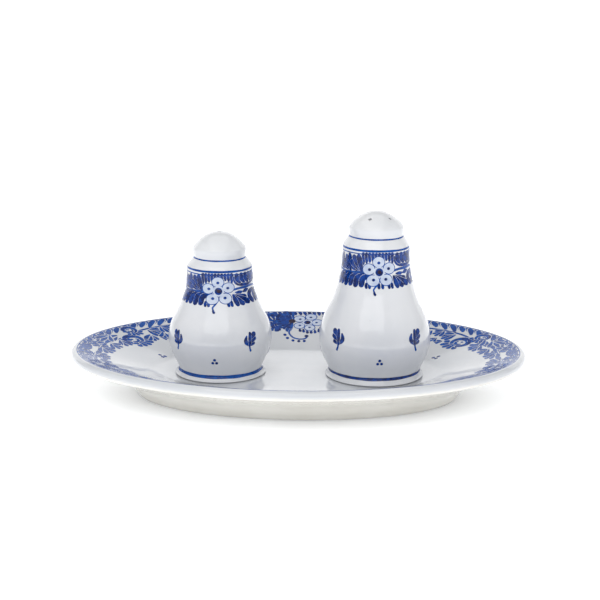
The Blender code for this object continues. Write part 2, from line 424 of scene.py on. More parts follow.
def glaze(name, tones, outside=None):
    """A tin glaze: two close tones that drift, tiny specks, and ivory where the outside attribute is 1."""
    nodes = Nodes(name)
    drift = nodes.remap(nodes.noise(22.0, 3.0), 0.35, 0.65, 0.0, 1.0)
    colour = nodes.mix(drift, *tones)
    if outside is not None:
        ivory = nodes.mix(drift, *outside)
        edge = nodes.add("ShaderNodeMath", operation="ADD")
        nodes.link(nodes.attribute("outside"), edge.inputs[0])
        nodes.link(nodes.remap(nodes.noise(7.0, 2.0), 0.3, 0.7, -0.06, 0.06), edge.inputs[1])
        colour = nodes.mix(nodes.remap(edge.outputs[0], 0.2, 0.8, 0.0, 1.0), colour, ivory)
    specks = nodes.remap(nodes.noise(0.9, 2.0, 0.7), 0.70, 0.80, 0.0, 0.35)
    colour = nodes.mix(specks, colour, (0.45, 0.44, 0.42))
    nodes.link(colour, nodes.shader.inputs["Base Color"])
    glaze_gloss(nodes)
    return nodes.material


def brushwork(name, tones, patch_mm=2.2):
    """Ceramic paint under the glaze: washed thin in places and pooled dark in others."""
    nodes = Nodes(name)
    load = nodes.remap(nodes.noise(patch_mm, 3.0, 0.6), 0.38, 0.62, 0.0, 1.0)
    nodes.link(nodes.mix(load, *tones), nodes.shader.inputs["Base Color"])
    glaze_gloss(nodes)
    nodes.shader.inputs["Specular IOR Level"].default_value = 0.3
    nodes.shader.inputs["Coat Weight"].default_value = 0.05
    return nodes.material


def cork_material():
    """Pressed cork: rounded grains in several browns, dark pores between them, and a dry, dull surface."""
    nodes = Nodes("cork_bark")
    grains = nodes.add("ShaderNodeTexVoronoi", feature="F1")
    grains.inputs["Scale"].default_value = 1.0 / (1.7 * MM)
    nodes.link(nodes.place, grains.inputs["Vector"])
    borders = nodes.add("ShaderNodeTexVoronoi", feature="DISTANCE_TO_EDGE")
    borders.inputs["Scale"].default_value = 1.0 / (1.7 * MM)
    nodes.link(nodes.place, borders.inputs["Vector"])
    grain_tone = nodes.remap(grains.outputs["Color"], 0.2, 0.8, 0.0, 1.0)
    colour = nodes.mix(grain_tone, *CORK_BROWN)
    gap = nodes.remap(borders.outputs["Distance"], 0.0, 0.09, 0.75, 0.0)
    colour = nodes.mix(gap, colour, (0.12, 0.06, 0.03))
    pores = nodes.remap(nodes.noise(0.8, 2.0, 0.7), 0.62, 0.72, 0.0, 0.8)
    colour = nodes.mix(pores, colour, (0.10, 0.05, 0.025))
    nodes.link(colour, nodes.shader.inputs["Base Color"])
    nodes.link(nodes.remap(nodes.noise(2.0, 2.0), 0.3, 0.7, 0.72, 0.9), nodes.shader.inputs["Roughness"])
    seams = nodes.bump(borders.outputs["Distance"], 0.35, 0.25)
    nodes.link(nodes.bump(nodes.noise(0.5, 2.0), 0.4, 0.15, below=seams), nodes.shader.inputs["Normal"])
    return nodes.material


# ================================================================ painted decoration
# A drawing is a list of (layer, outline, halo), in millimetres on a flat chart. Each layer has its material's place
# in the paints, and how far its film stands over the glaze; what stands further covers the rest. A halo is an
# outline that keeps whatever was painted before in its layer clear of the stroke, as a careful painter does.
LAYERS = {"ground": (0, 0.035), "pale": (2, 0.050), "mid": (0, 0.065), "dark": (1, 0.080), "heart": (3, 0.095)}
SPREAD = 0.07  # how far a stroke's edge runs out in the firing
GAP = 0.15  # the bare glaze left beside a stroke
RIM_GAP = 0.44  # and beside the bolder strokes of the dish's rim
FILM_DEPTH = 0.02  # how far a film reaches into the glaze
LIP_LINE_INSET = 3.1  # of the fine line inside the dish's lip
GROUP_SIZE = 1.35  # of the dots in the dish, against those on the shakers
SHAKER_GRID, RIM_GRID = 0.9, 1.6  # the films have points at least this close, to follow their surfaces


def stroke_outline(line, grown):
    """The outline round a centreline of (x, y, width) points, with half-round ends, grown on every side."""
    left, right = [], []
    for i, knot in enumerate(line):
        along = (line[min(i + 1, len(line) - 1)] - line[max(i - 1, 0)]).xy.normalized()
        side = Vector((-along.y, along.x)) * (knot.z / 2 + SPREAD + grown)
        left.append(knot.xy + side)
        right.append(knot.xy - side)
    caps = []
    for knot, other in ((line[-1], line[-2]), (line[0], line[1])):
        way = (knot - other).xy.normalized()
        side = Vector((-way.y, way.x))
        turns = [math.radians(45 * k) for k in range(1, 4)]
        caps.append([knot.xy + (knot.z / 2 + SPREAD + grown) * (math.cos(turn) * side + math.sin(turn) * way)
                     for turn in turns])
    return left + caps[0] + right[::-1] + caps[1]


def brush(points, widths, layer="dark", gap=GAP):
    """One brush stroke: a smooth centreline as wide at each point as the widths say, and its halo."""
    line = curve_through([Vector((x, y, width)) for (x, y), width in zip(points, widths)], STROKE_STEPS)
    return [(layer, stroke_outline(line, 0.0), stroke_outline(line, gap))]


def dab(x, y, degrees, length, width, bend=0.0, layer="dark", gap=GAP):
    """A pressed stroke: it starts thin at (x, y), swells and ends round, and bend bows it sideways."""
    way = Vector((math.cos(math.radians(degrees)), math.sin(math.radians(degrees))))
    side = Vector((-way.y, way.x))
    start = Vector((x, y))
    points = [start, start + 0.5 * length * way + bend * side, start + (length - width / 2) * way]
    return brush([tuple(point) for point in points], [0.35 * width, 0.9 * width, width], layer, gap)


def oval(x, y, radius_x, radius_y, layer="dark", count=20):
    """A filled ellipse. It has no halo, so it may lie on what is painted there."""
    return [(layer, [Vector((x + radius_x * math.cos(math.tau * i / count),
                             y + radius_y * math.sin(math.tau * i / count))) for i in range(count)], None)]


def kept_bare(outlines):
    """Halos without a stroke: they clear both cobalt layers where another thing is to be painted."""
    return [(layer, None, points) for _, points, _ in outlines for layer in ("mid", "dark")]


def bow(x, y, radius_x, radius_y, start, end, width, layer="dark", knots=7, gap=GAP):
    """A stroke along part of an ellipse, thin at its ends and full in its middle."""
    angles = [math.radians(start + (end - start) * i / (knots - 1)) for i in range(knots)]
    points = [(x + radius_x * math.cos(a), y + radius_y * math.sin(a)) for a in angles]
    widths = [width * (0.55 + 0.45 * math.sin(math.pi * i / (knots - 1))) for i in range(knots)]
    return brush(points, widths, layer, gap)


def moved(drawing, x=0.0, y=0.0, degrees=0.0, scale=1.0, mirror=1.0, stretch=1.0):
    """The drawing scaled, turned and shifted. mirror -1 flips it left to right, stretch scales its height."""
    turn = Matrix.Rotation(math.radians(degrees), 2)

    def placed(points):
        return points and [turn @ Vector((mirror * scale * p.x, stretch * scale * p.y)) + Vector((x, y))
                           for p in points]

    return [(layer, placed(points), placed(halo)) for layer, points, halo in drawing]


def flower(first_angle, reach_x, reach_y, petal_x, petal_y, edge=0.34):
    """Five washed petals outlined in blue, each with an eye, round a dark centre with a brown heart."""
    drawing = []
    for i in range(5):
        angle = math.radians(first_angle + 72 * i)
        x, y = reach_x * math.cos(angle), reach_y * math.sin(angle)
        rim = oval(x, y, petal_x + edge, petal_y + edge, "ground", 28)
        drawing += kept_bare(rim) + rim + oval(x, y, petal_x, petal_y, "pale", 28)
        drawing += oval(0.93 * x, 0.93 * y, 0.78, 0.68, "dark", 14)
    drawing += kept_bare(oval(0, 0, 2.7, 2.5)) + oval(0, 0, 2.7, 2.5, "pale")
    drawing += oval(0, 0, 1.85, 1.8, "dark")
    return drawing + oval(0.15, 0, 1.0, 0.95, "heart", 14)


def fan(start, ends, lift=0.4):
    """Strokes from one point to each end (x, y, width), bowed upwards by lift."""
    drawing = []
    for x, y, width in ends:
        drawing += brush([start, ((start[0] + x) / 2, (start[1] + y) / 2 + lift), (x, y)],
                         [0.6 * width, 1.25 * width, 1.15 * width])
    return drawing


def neck_band(taller=1.0, fringe=False):
    """The band round a shaker's neck, about its flower: a fern on the left, a comb and leaves on the right."""
    # the stems, the one that hangs under the flower included
    drawing = brush([(-7.0, -0.4), (-13.0, -0.6), (-19.0, -0.9), (-25.9, -0.2)], [0.9, 0.9, 0.9, 0.6], "mid")
    drawing += brush([(6.5, 0.3), (10.5, 0.9), (15.0, 1.0), (19.5, 1.2), (25.9, 0.3)], [0.9, 1.0, 1.1, 1.0, 0.6],
                     "mid")
    drawing += brush([(-0.3, -3.0), (-0.9, -5.6), (-2.4, -7.6), (-2.3, -8.8)], [0.55, 0.6, 0.6, 0.5], "mid")
    drawing += brush([(-2.3, -8.4), (-2.1, -9.4), (-1.8, -10.0)], [0.4, 0.9, 1.0])
    # short strokes that hang from the line above, on both sides of the top petal and down to it
    for i, length in enumerate((4.4, 3.7, 3.2, 2.9, 2.4, 2.0, 2.0, 2.4, 2.9, 3.6)):
        x = -8.0 + 1.62 * i
        drawing += brush([(x, 7.9), (x + 0.15, 7.9 - 0.5 * length), (x + 0.1, 7.9 - length)], [1.75, 1.8, 1.0])
    # upper left: three leaves whose strokes fan out to the left
    drawing += fan((-21.0, 0.3), ((-25.9, 2.2, 2.0), (-24.9, 4.6, 2.2), (-22.6, 6.2, 2.1)))
    drawing += fan((-15.0, 0.3), ((-20.3, 1.3, 1.9), (-20.6, 3.4, 2.2), (-18.9, 5.5, 2.2), (-16.3, 6.5, 2.0)))
    drawing += fan((-8.7, 0.3), ((-13.7, 1.4, 1.9), (-14.6, 3.7, 2.3), (-13.2, 6.0, 2.3), (-10.5, 6.5, 2.1)))
    # lower left: the fern that hangs from the stem
    for i in range(6):
        x = -23.0 + 2.95 * i
        drawing += brush([(x + 3.6, -1.5), (x + 0.5, -3.1), (x, -6.05 + 0.25 * (i % 2))], [1.6, 2.7, 2.6])
    # upper right: a comb of strokes over a curved stem
    drawing += brush([(7.7, 6.6), (8.5, 4.0), (11.2, 2.7), (16.0, 2.4), (21.6, 3.1)], [0.8, 1.1, 1.4, 1.2, 0.8])
    for i in range(6):
        x = 9.4 + 2.7 * i
        drawing += brush([(x, 7.4), (x + 0.3, 5.6), (x + 1.6, 4.0)], [2.2, 2.6, 1.8])
    # lower right: eye-shaped leaves, the fan under them, and the curled leaves beyond
    drawing += brush([(8.6, -1.0), (10.5, -1.2), (12.3, -0.9)], [0.6, 1.9, 0.6])
    drawing += brush([(12.8, -1.1), (14.6, -0.6), (16.4, -0.3)], [0.6, 1.8, 0.7])
    drawing += fan((7.2, -2.2), ((13.6, -3.5, 1.9), (14.8, -5.8, 2.3), (11.5, -6.4, 1.9), (8.8, -6.6, 1.7)), -0.3)
    drawing += brush([(25.9, -1.4), (24.1, -3.4), (24.3, -6.1)], [1.0, 2.3, 2.4])
    drawing += brush([(23.2, -1.1), (20.9, -3.0), (21.3, -5.9)], [1.1, 2.5, 2.6])
    drawing += brush([(20.9, -0.8), (17.6, -1.9), (16.9, -4.2), (18.2, -6.0)], [1.2, 2.5, 2.9, 2.4])
    # strokes along the lower edge
    for x in (-5.9, -4.4, 4.5, 6.0) + ((-0.2, 1.5) if fringe else ()):
        drawing += brush([(x, -5.4), (x, -6.4), (x + 0.1, -7.0)], [1.1, 1.3, 1.1])
    return moved(drawing + flower(93, 5.25, 4.5, 2.85, 2.38), stretch=taller)


def oak_sprig():
    """A small leaf: a middle stroke, three lobes on its left, a long one on its right, and its stem."""
    return (brush([(0.0, 0.2), (-0.2, -1.5), (-0.8, -2.9)], [0.85, 0.75, 0.95], "mid")
            + brush([(-0.1, 0.2), (-1.3, 0.6), (-2.5, 0.8)], [1.2, 1.8, 1.6])
            + brush([(-0.4, 1.6), (-2.0, 2.6), (-3.3, 3.1)], [1.4, 2.1, 2.0])
            + brush([(-0.5, 3.2), (-2.2, 4.6), (-3.3, 5.2)], [1.4, 2.2, 2.4])
            + brush([(0.4, 0.1), (1.7, 1.4), (2.1, 2.7), (1.4, 4.5)], [0.9, 1.9, 1.9, 0.8])
            + brush([(0.0, -0.1), (-0.35, 3.0), (-0.85, 5.8)], [1.2, 1.75, 1.4]))


def three_dots(size=1.0):
    """Three dots in a triangle."""
    return [dot for x, y in ((0.0, 1.0), (-0.95, -0.75), (0.95, -0.75))
            for dot in oval(x * size, y * size, 0.74 * size, 0.74 * size, "dark", 14)]


def rose(size):
    """A round bloom of thick crescents, open below, with strokes spreading from its foot."""
    drawing = []
    for degrees, length, bend in ((192, 6.4, 0.7), (216, 7.2, 0.5), (240, 6.4, 0.2), (265, 5.6, 0.0),
                                  (292, 5.4, -0.3)):
        angle = math.radians(degrees)
        drawing += rim_dab(2.4 * math.cos(angle), 1.9 * math.sin(angle), degrees, length, 2.5, bend)
    drawing += bow(0, 0, 4.4, 3.6, -70, 215, 2.9, "mid", 9, RIM_GAP) + bow(-0.2, -0.4, 1.9, 1.5, 150, 330, 1.2, "mid")
    return moved(drawing + bow(0.2, 0.1, 4.5, 3.7, -20, 120, 1.3) + oval(0.5, 0.7, 0.7, 0.6, "mid", 14), scale=size)


def rim_dab(x, y, degrees, length, width, bend=0.0):
    """A pressed stroke of the rim's ornament, in the middle tone and well apart from its neighbours."""
    return dab(x, y, degrees, length, width, bend, "mid", RIM_GAP)


def leaf_spray(spread, length=6.8, width=2.3):
    """Strokes that fan out from one point, the middle ones longest."""
    drawing = []
    for i, degrees in enumerate(spread):
        share = math.sin(math.pi * (i + 1) / (len(spread) + 1))
        drawing += rim_dab(0, 0, degrees, length * (0.75 + 0.3 * share), width, 0.3 if i % 2 else -0.3)
    return drawing


def tulip():
    """A bell of two wide petals seen from its side, with the strokes that close it."""
    return (brush([(-4.2, 1.4), (-0.5, -1.5), (4.4, -2.6)], [1.2, 2.9, 1.2], "mid", RIM_GAP)
            + brush([(-3.6, 2.4), (0.4, 0.6), (5.0, -0.2)], [1.0, 2.4, 0.9], "mid", RIM_GAP)
            + rim_dab(-3.0, 1.6, 42, 5.0, 2.0) + rim_dab(-2.0, 1.6, 16, 6.4, 1.9)
            + rim_dab(-3.6, 0.6, -48, 5.4, 2.1))


def medallion():
    """The middle of each long side: half a carnation and a whole flower over a curling stem with drops."""
    drawing = []
    for i, degrees in enumerate((92, 110, 128, 146, 164, 182, 200, 218, 236, 254)):
        drawing += dab(-5.9, -12.4, degrees, (9.4, 10.8)[i % 2], 3.4, 0.3, "mid")
        drawing += dab(-6.6, -12.4, degrees + 2, (8.6, 7.0)[i % 2], 1.3, 0.3)
    for x, y in ((-1.8, -21.0), (0.3, -21.6), (2.6, -22.6), (4.9, -22.6), (7.2, -22.2), (9.3, -21.0)):
        drawing += dab(x, y + 1.6, -78, 3.4, 1.7)
    for degrees, x, y in ((-95, -15.6, -12.0), (-80, -17.6, -14.0), (-112, -13.2, -17.2), (-70, -15.6, -16.0),
                          (95, -15.6, -10.6), (70, -14.2, -10.4), (120, -17.2, -10.8)):
        drawing += dab(x, y, degrees, 5.6, 2.2, 0.3)
    for x, y, degrees, length in ((10.4, -8.0, 75, 4.8), (10.8, -9.0, 20, 6.0), (10.6, -12.0, -15, 6.4),
                                  (10.2, -15.2, -40, 6.2), (10.0, -18.0, -62, 5.4), (13.6, -9.6, 50, 6.0)):
        drawing += dab(x, y, degrees, length, 2.2)
    for x in (-14.8, -12.4, -9.8, -7.2, -4.6, -2.0, 0.4, 2.8, 5.2, 7.6, 10.0, 12.4):
        drawing += brush([(x, -3.9), (x + 0.4, -5.0), (x + 0.6, -6.2)], [1.6, 1.7, 0.9])
    drawing += brush([(-7.0, -19.6), (-8.0, -23.9), (-5.8, -28.3), (-1.9, -30.1), (1.9, -29.6), (3.3, -27.6)],
                     [0.7, 0.95, 1.0, 1.0, 1.1, 1.0], "mid")
    drawing += oval(2.8, -26.9, 1.3, 1.2)
    for x, y in ((-10.6, -25.4), (-9.2, -28.7), (-5.7, -31.2), (-1.8, -31.9), (1.8, -31.7)):
        drawing += oval(x, y - 0.4, 1.05, 1.2, "dark", 14)
    return drawing + oval(-6.0, -12.3, 1.9, 1.8, "heart") + moved(flower(0, 5.4, 5.4, 2.8, 2.65, 0.5), x=2.4, y=-13.4)


def garland(shift=0.0):
    """A quarter of the rim's ornament, from beside a medallion (small x) to the end of the dish.

    x is the length along the rim from the middle of the long side, and -y the inset from the lip's edge.
    """
    drawing = []
    # strokes that lean along the crest, all the way round
    for i in range(22):
        x = 14.5 + 5.3 * i
        tip = (0.0, 1.3, 0.5)[i % 3]
        drawing += brush([(x, -4.2), (x + 2.4, -5.8), (x + 5.4 - tip, -8.8 + tip)], [1.7, 2.6, 1.3], "mid", RIM_GAP)
        drawing += brush([(x + 3.4, -4.1), (x + 4.6, -4.9), (x + 6.0, -6.4)], [1.0, 1.3, 0.7], "mid")
    # the winding stem
    drawing += brush([(14, -13), (24, -9.8), (38, -10.4), (52, -12.6), (64, -10.4), (76, -9.8), (89, -10.2),
                      (97.7, -11.9), (103, -13.0), (113.4, -12.8), (122, -11.6), (132, -13)], [1.0] * 12, "mid")
    for x, y, size, turn in ((30.5, -16.6, 0.95, 10), (59, -17.2, 1.0, -8), (95.3 + shift, -16.9, 1.08, 0),
                             (101.5 - shift, -8.3, 0.74, 20), (43.8, -8.0, 0.74, 15)):
        drawing += moved(rose(size), x=x, y=y, degrees=turn)
    sprays = ((86.5, -11.8, 1.0, (178, 205, 232, 259)), (50.0, -13.2, 1.0, (180, 207, 234, 261, 288)),
              (21.5, -11.5, 1.0, (185, 212, 240, 268, 300)), (72.0, -12.0, 0.95, (200, 228, 256, 284)),
              (109.0, -14.2, 0.95, (196, 226, 256, 288, 322)), (117.0, -14.2, 0.85, (215, 250, 285, 320)),
              (121.0, -8.8, 0.95, (165, 190, 20, -4, 44)), (126.5, -13.0, 1.0, (190, 222, 254, 286, 318, 350)),
              (38.5, -13.6, 0.85, (215, 250, 285, 320)), (79.5, -17.6, 0.6, (215, 255, 295)),
              (64.5, -12.6, 0.75, (300, 330)), (132.4, -9.4, 0.9, (150, 120, 90, 60, 30)),
              (16.5, -17.0, 0.8, (200, 230, 260, 290)), (26.5, -20.5, 0.75, (200, 235, 270, 305)),
              (34.5, -9.8, 0.7, (150, 120, 60)), (45.5, -18.5, 0.85, (190, 220, 250, 280, 310)),
              (54.5, -9.6, 0.8, (160, 130, 40)), (66.0, -17.0, 0.9, (195, 225, 255, 285)),
              (78.5, -10.6, 0.8, (190, 222, 254, 286)), (85.0, -19.5, 0.55, (180, 215, 250)),
              (117.5, -11.8, 0.75, (60, 25, -8)), (124.0, -11.4, 0.7, (100, 65, 30)))
    if shift:
        sprays += ((89.0, -15.6, 0.95, (262, 286, 310, 334)), (80.5, -15.4, 0.85, (270, 295, 320)),
                   (106.0, -9.8, 1.1, (338, 0, 20)))
    else:
        sprays += ((105.0, -9.4, 0.9, (338, 306)),)
    for x, y, size, spread in sprays:
        drawing += moved(leaf_spray(spread), x=x, y=y, scale=size)
    drawing += moved(tulip(), x=113.5, y=-9.3)
    drawing += moved(tulip(), x=28.0, y=-8.8, mirror=-1)
    for x, y in ((103.4, -16.0), (105.4, -18.4), (121.4, -17.4), (124.0, -18.8), (67.6, -18.5), (52.4, -20.0)):
        drawing += oval(x, y, 1.2, 1.1, "mid", 14)
    return drawing


def anticlockwise(points):
    """The outline in the direction that the triangulation takes as running round its inside."""
    doubled = sum(a.x * b.y - b.x * a.y for a, b in zip(points, points[1:] + points[:1]))
    return points if doubled > 0 else points[::-1]


def film(bm, drawing, place, grid):
    """Lays a drawing on a surface as thin closed films, one for each layer."""
    for layer, (paint, top) in LAYERS.items():
        outlines = []  # (is it painted, its points): where several overlap, the last one counts
        for name, points, halo in drawing:
            if name == layer:
                outlines += [(False, anticlockwise(halo))] if halo else []
                outlines += [(True, anticlockwise(points))] if points else []
        if not any(painted for painted, _ in outlines):
            continue
        corners = [point for _, points in outlines for point in points]
        loops, start = [], 0
        for _, points in outlines:
            loops.append(list(range(start, start + len(points))))
            start += len(points)
        xs, ys = [p.x for p in corners], [p.y for p in corners]
        columns = math.ceil((max(xs) - min(xs)) / grid)
        rows = math.ceil((max(ys) - min(ys)) / grid)
        corners += [Vector((min(xs) + grid * (i + 0.5), min(ys) + grid * (j + 0.5)))
                    for i in range(columns) for j in range(rows)]
        flat, _, triangles, _, _, sources = delaunay_2d_cdt(corners, [], loops, 1, 0.0005)
        triangles = [corner for corner, source in zip(triangles, sources) if source and outlines[max(source)][0]]
        upper, lower = {}, {}
        for index in sorted({i for triangle in triangles for i in triangle}):
            point, outwards = place(flat[index].x, flat[index].y)
            upper[index] = bm.verts.new((point + top * outwards) * MM)
            lower[index] = bm.verts.new((point - FILM_DEPTH * outwards) * MM)
        rims = {}
        for a, b, c in triangles:
            bm.faces.new((upper[a], upper[b], upper[c])).material_index = paint
            bm.faces.new((lower[c], lower[b], lower[a])).material_index = paint
            for edge in ((a, b), (b, c), (c, a)):
                if edge[::-1] in rims:
                    del rims[edge[::-1]]
                else:
                    rims[edge] = True
        for a, b in rims:
            bm.faces.new((upper[b], upper[a], lower[a], lower[b])).material_index = paint


def line_round(bm, place, girth, width, paint, wobble, count=288):
    """A painted line right round: its width and course vary a little, as a turned brush leaves them."""
    top = LAYERS["mid"][1]
    ring = []
    for i in range(count):
        angle = math.tau * i / count
        drift = wobble * (math.sin(2 * angle + 0.6) + 0.5 * math.sin(5 * angle + 2.0))
        half = 0.5 * width * (1.0 + 0.10 * math.sin(3 * angle) + 0.06 * math.sin(11 * angle + 1.0))
        row = []
        for y, lift in ((drift + half, top), (drift, top), (drift - half, top),
                        (drift - half, -FILM_DEPTH), (drift, -FILM_DEPTH), (drift + half, -FILM_DEPTH)):
            point, outwards = place(girth * i / count, y)
            row.append(bm.verts.new((point + lift * outwards) * MM))
        ring.append(row)
    for i in range(count):
        first, second = ring[i], ring[(i + 1) % count]
        for k in range(6):
            m = (k + 1) % 6
            bm.faces.new((first[k], second[k], second[m], first[m])).material_index = paint


# ================================================================ the pieces
def make_dish(surface, material):
    """The dish: ovals of one centre, turned in from the lip, with its foot ring and recessed underside."""
    section = [Vector(row) for row in DISH_FLOOR]
    section += outline(DISH_RIM)[:-1] + outline(DISH_LIP)[:-1] + outline(DISH_UNDERSIDE)
    foot = [Vector(row) for row in DISH_FOOT]
    section += [foot[0]] + fillet(foot[1], foot[0], foot[2], 0.5) + fillet(foot[2], foot[1], foot[3], 0.4)
    section += fillet(foot[3], foot[2], foot[4], 0.4) + fillet(foot[4], foot[3], foot[5], 1.2) + [foot[5]]
    directions = [Vector((math.cos(math.tau * i / DISH_SEGMENTS), math.sin(math.tau * i / DISH_SEGMENTS)))
                  for i in range(DISH_SEGMENTS)]

    def level(inset, height, share=1.0):
        return [Vector((share * (surface.half.x - inset) * way.x, share * (surface.half.y - inset) * way.y, height))
                for way in directions]

    floor, underside = section[0], section[-1]
    rings = [[Vector((0, 0, floor.y))]] + [level(*floor, share) for share in FLOOR_RINGS[::-1]]
    rings += [level(*point) for point in section]
    rings += [level(*underside, share) for share in FLOOR_RINGS] + [[Vector((0, 0, underside.y))]]
    bm = bmesh.new()
    outside = bm.verts.layers.float.new("outside")
    rows = loft(bm, rings)
    crest = 1 + len(FLOOR_RINGS) + len(DISH_FLOOR) + STEPS * (len(DISH_RIM) - 1)
    for row in rows[crest:]:
        for vert in row:
            vert[outside] = min(max((IVORY_TOP - vert.co.z / MM) / IVORY_BLEND, 0.0), 1.0)
    dish = mesh_object("dish_body", bm, [material])
    smooth(dish)
    return dish


def make_shaker(name, surface, holes, material):
    """A hollow shaker with its sprinkle holes cut through the dome."""
    bm = bmesh.new()
    loft(bm, turned_rings(shaker_profile(surface), SHAKER_SEGMENTS, surface.stand))
    shaker = mesh_object(name, bm, [material])
    cut(shaker, [hole_cutter(surface, *hole) for hole in holes])
    smooth(shaker)
    return shaker


def make_cork(name, surface, material, seed):
    """A tapered cork with rounded edges, small chips and pores pressed into its skin."""
    random.seed(seed)
    top, inner = CORK_HEIGHT + CORK_LENGTH, CORK_RADIUS - CORK_TAPER
    corners = [Vector((0.0, top)), Vector((inner, top)), Vector((CORK_RADIUS, CORK_HEIGHT)), Vector((0.0, CORK_HEIGHT))]
    profile = [Vector((inner * i / 14, top)) for i in range(14)]
    profile += fillet(corners[1], corners[0], corners[2], 0.5, 3)
    profile += [corners[1].lerp(corners[2], i / 22) for i in range(2, 21)]
    profile += fillet(corners[2], corners[1], corners[3], 0.5, 3)
    profile += [Vector((CORK_RADIUS * i / 15, CORK_HEIGHT)) for i in range(14, -1, -1)]
    centre = Vector((0.0, 0.0, (top + CORK_HEIGHT) / 2))
    pores = []
    for _ in range(PORES):
        angle, height = random.uniform(0, math.tau), random.uniform(CORK_HEIGHT, top)
        radius = random.choice((CORK_RADIUS, CORK_RADIUS, random.uniform(1.0, CORK_RADIUS)))
        if radius < CORK_RADIUS - 1.0:
            height = random.choice((CORK_HEIGHT, top))
        pores.append((Vector((radius * math.cos(angle), radius * math.sin(angle), height)),
                      random.uniform(0.5, 1.1), random.uniform(0.15, 0.45)))
    rings = turned_rings(profile, CORK_SEGMENTS, Vector((0.0, 0.0, 0.0)))
    for ring in rings:
        for i, point in enumerate(ring):
            inwards = (centre - point).normalized()
            depth = 0.10 * (0.5 + 0.5 * noise.noise(point / 1.5 + Vector((seed, 0, 0))))
            for place, size, deep in pores:
                depth += deep * math.exp(-((point - place).length / (0.5 * size)) ** 2)
            ring[i] = surface.stand + point + depth * inwards
    bm = bmesh.new()
    loft(bm, rings)
    cork = mesh_object(name, bm, [material])
    smooth(cork, 60)
    return cork


def paint_shaker(name, surface, paints, plan):
    """A shaker's painting: its lines, the two flowered lengths of its neck band, and the sprigs below."""
    bm = bmesh.new()
    for height, width, wobble, paint in plan["lines"]:
        line_round(bm, surface.chart(0, height, surface.radius(height)), math.tau * surface.radius(height),
                   width, paint, wobble)
    band = neck_band(plan["band_stretch"], plan["fringe"])
    for half in range(2):
        film(bm, band, surface.chart(plan["flower_angle"] + 180 * half, plan["flower_height"], plan["band_radius"]),
             SHAKER_GRID)
        for side in (1, -1):
            sprig = moved(oak_sprig(), mirror=side, scale=plan["sprig_scale"])
            film(bm, sprig, surface.chart(plan["sprig_middle"] - side * plan["sprig_spread"] + 180 * half,
                                          plan["sprig_height"]), SHAKER_GRID)
        for angle in (plan["dots_angle"], plan["dots_angle"] + 90):
            film(bm, three_dots(), surface.chart(angle + 180 * half, plan["dots_height"]), SHAKER_GRID)
    painting = mesh_object(name, bm, paints)
    smooth(painting)
    return painting


def paint_dish(surface, paints):
    """The dish's painting: the fine line inside the lip, two medallions, four garlands, and stray dots."""
    bm = bmesh.new()
    line_round(bm, lambda x, y: surface.at(x, LIP_LINE_INSET - y), surface.girth, 0.5, 0, 0.03, count=400)
    middle_back = surface.girth / 4
    for side in range(2):
        film(bm, medallion(), surface.chart(middle_back + side * surface.girth / 2, 0.0), RIM_GRID)
        for mirror in (1, -1):
            # the two garlands that meet the left end carry their roses a little nearer to it
            shift = 6.0 if (mirror == 1) == (side == 1) else 0.0
            quarter = moved(garland(shift), mirror=mirror)
            film(bm, quarter, surface.chart(middle_back + side * surface.girth / 2, 0.0), RIM_GRID)
    for length, inset in ((32.8, 34.5), (surface.girth / 2 - 28.2, 36.6)):
        film(bm, three_dots(GROUP_SIZE), surface.chart(length, inset), RIM_GRID)
    painting = mesh_object("dish_painting", bm, paints)
    smooth(painting)
    return painting


# ================================================================ the studio
def area_light(name, place, target, size, power):
    """A softbox; place, target and size are in metres, power in watts."""
    light = bpy.data.lights.new(name, "AREA")
    light.shape = "RECTANGLE"
    light.size, light.size_y = size
    light.energy = power
    lamp = bpy.data.objects.new(name, light)
    lamp.location = place
    lamp.rotation_euler = (Vector(target) - Vector(place)).to_track_quat("-Z", "Y").to_euler()
    bpy.context.scene.collection.objects.link(lamp)


def paper(name, tone):
    """White paper that shines by itself; how strongly is linked afterwards."""
    nodes = Nodes(name)
    nodes.shader.inputs["Base Color"].default_value = (*tone, 1.0)
    nodes.shader.inputs["Emission Color"].default_value = (1.0, 1.0, 1.0, 1.0)
    return nodes


def stage_sheet(name, corners, material):
    """A flat sheet of the studio; its corners are in metres."""
    bm = bmesh.new()
    bm.faces.new([bm.verts.new(corner) for corner in corners])
    mesh_object(name, bm, [material])


